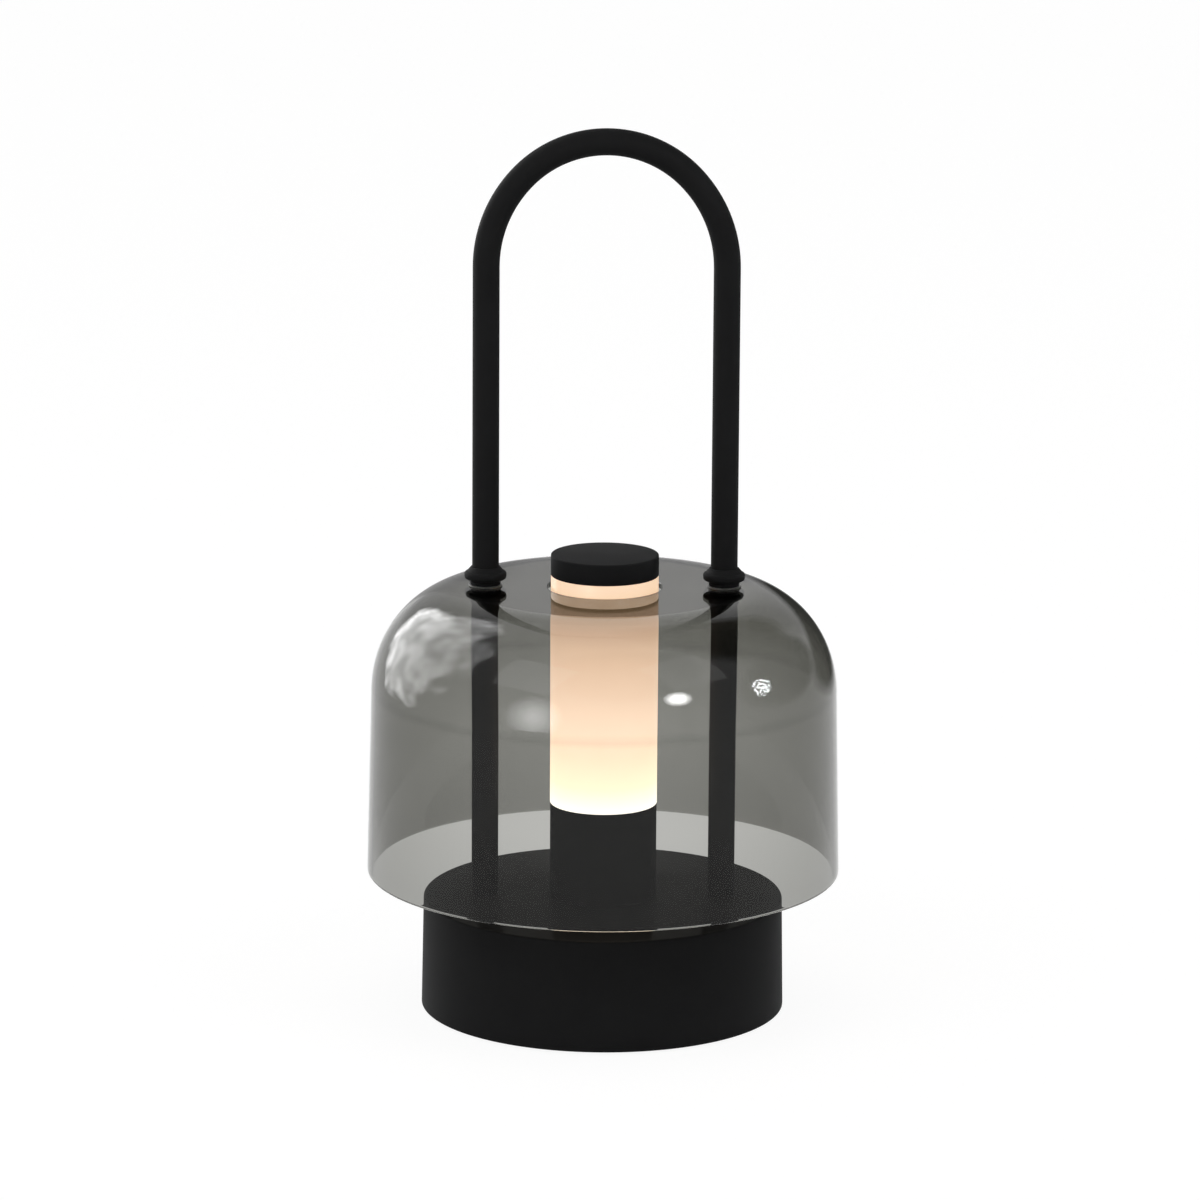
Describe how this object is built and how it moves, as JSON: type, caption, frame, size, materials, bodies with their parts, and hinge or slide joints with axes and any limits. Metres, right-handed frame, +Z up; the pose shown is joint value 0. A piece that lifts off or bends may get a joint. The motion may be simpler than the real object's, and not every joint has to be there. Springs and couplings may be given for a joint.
{
  "type": "lantern table lamp",
  "caption": "Portable lantern table lamp: drum base, lit opal column under a smoked glass bell shade, and a U-shaped tube handle whose legs pass through the glass.",
  "frame": {"origin": "centre of the footprint on the table, level with the underside of the feet", "axes": "+Z up along the axis of the lit tube, +X towards one leg of the handle, +Y out of the back, where the charging inlet and the button are"},
  "size_m": [0.213, 0.213, 0.401],
  "materials": {
    "black_coat": "matt black powder coat",
    "plate_coat": "matt black",
    "steel": "zinc plated",
    "dark_steel": "black oxide",
    "ballast_steel": "raw plate",
    "black_rubber": "matt",
    "clear_silicone": "translucent",
    "smoked_glass": "clear smoked",
    "opal_diffuser": "opal, lit from inside",
    "aluminium": "turned",
    "white_board": "white mask",
    "light_chip": "phosphor",
    "white_plastic": "moulded",
    "black_plastic": "moulded",
    "button_plastic": "fine spark texture",
    "inlet_steel": "bright",
    "nickel_tab": "bright",
    "cell_wrap": "shrink sleeve",
    "green_board": "solder mask",
    "brass": "turned",
    "white_lead": "sleeve",
    "red_lead": "sleeve"
  },
  "bodies": {
    "lamp": {"base_shell": "black_coat", "bottom_plate": "plate_coat", "plate_screws": "steel", "rubber_feet": "black_rubber", "ballast_plate": "ballast_steel", "ballast_screws": "steel", "handle_tube": "black_coat", "leg_plugs": "steel", "leg_washers": "steel", "leg_nuts": "steel", "upper_collars": "black_coat", "lower_collars": "black_coat", "upper_washers": "clear_silicone", "lower_washers": "clear_silicone", "collar_screws": "dark_steel", "glass_shade": "smoked_glass", "column": "black_coat", "column_screws": "steel", "light_carrier": "aluminium", "light_board": "white_board", "light_chips": "light_chip", "locating_ring": "white_plastic", "diffuser": "opal_diffuser", "cap": "black_coat", "cap_ring": "black_rubber", "reflector_disc": "white_plastic", "grommet": "black_rubber", "port_panel": "black_plastic", "inlet_shell": "inlet_steel", "inlet_tongue": "black_plastic", "switch_body": "black_plastic", "battery_cells": "cell_wrap", "battery_cradle": "black_plastic", "cell_tabs": "nickel_tab", "control_board": "green_board", "board_parts": "black_plastic", "lead_sockets": "white_plastic", "board_standoffs": "brass", "board_screws": "steel", "light_lead": "white_lead", "battery_lead": "red_lead"},
    "button": {"button_cap": "button_plastic", "button_plunger": "white_plastic"}
  },
  "joints": [
    {"name": "button_press", "type": "slide", "parent": "lamp", "child": "button", "axis": [0, -1, 0], "range_m": [0, 0.0012], "stiffness_N_per_m": 900}
  ]
}
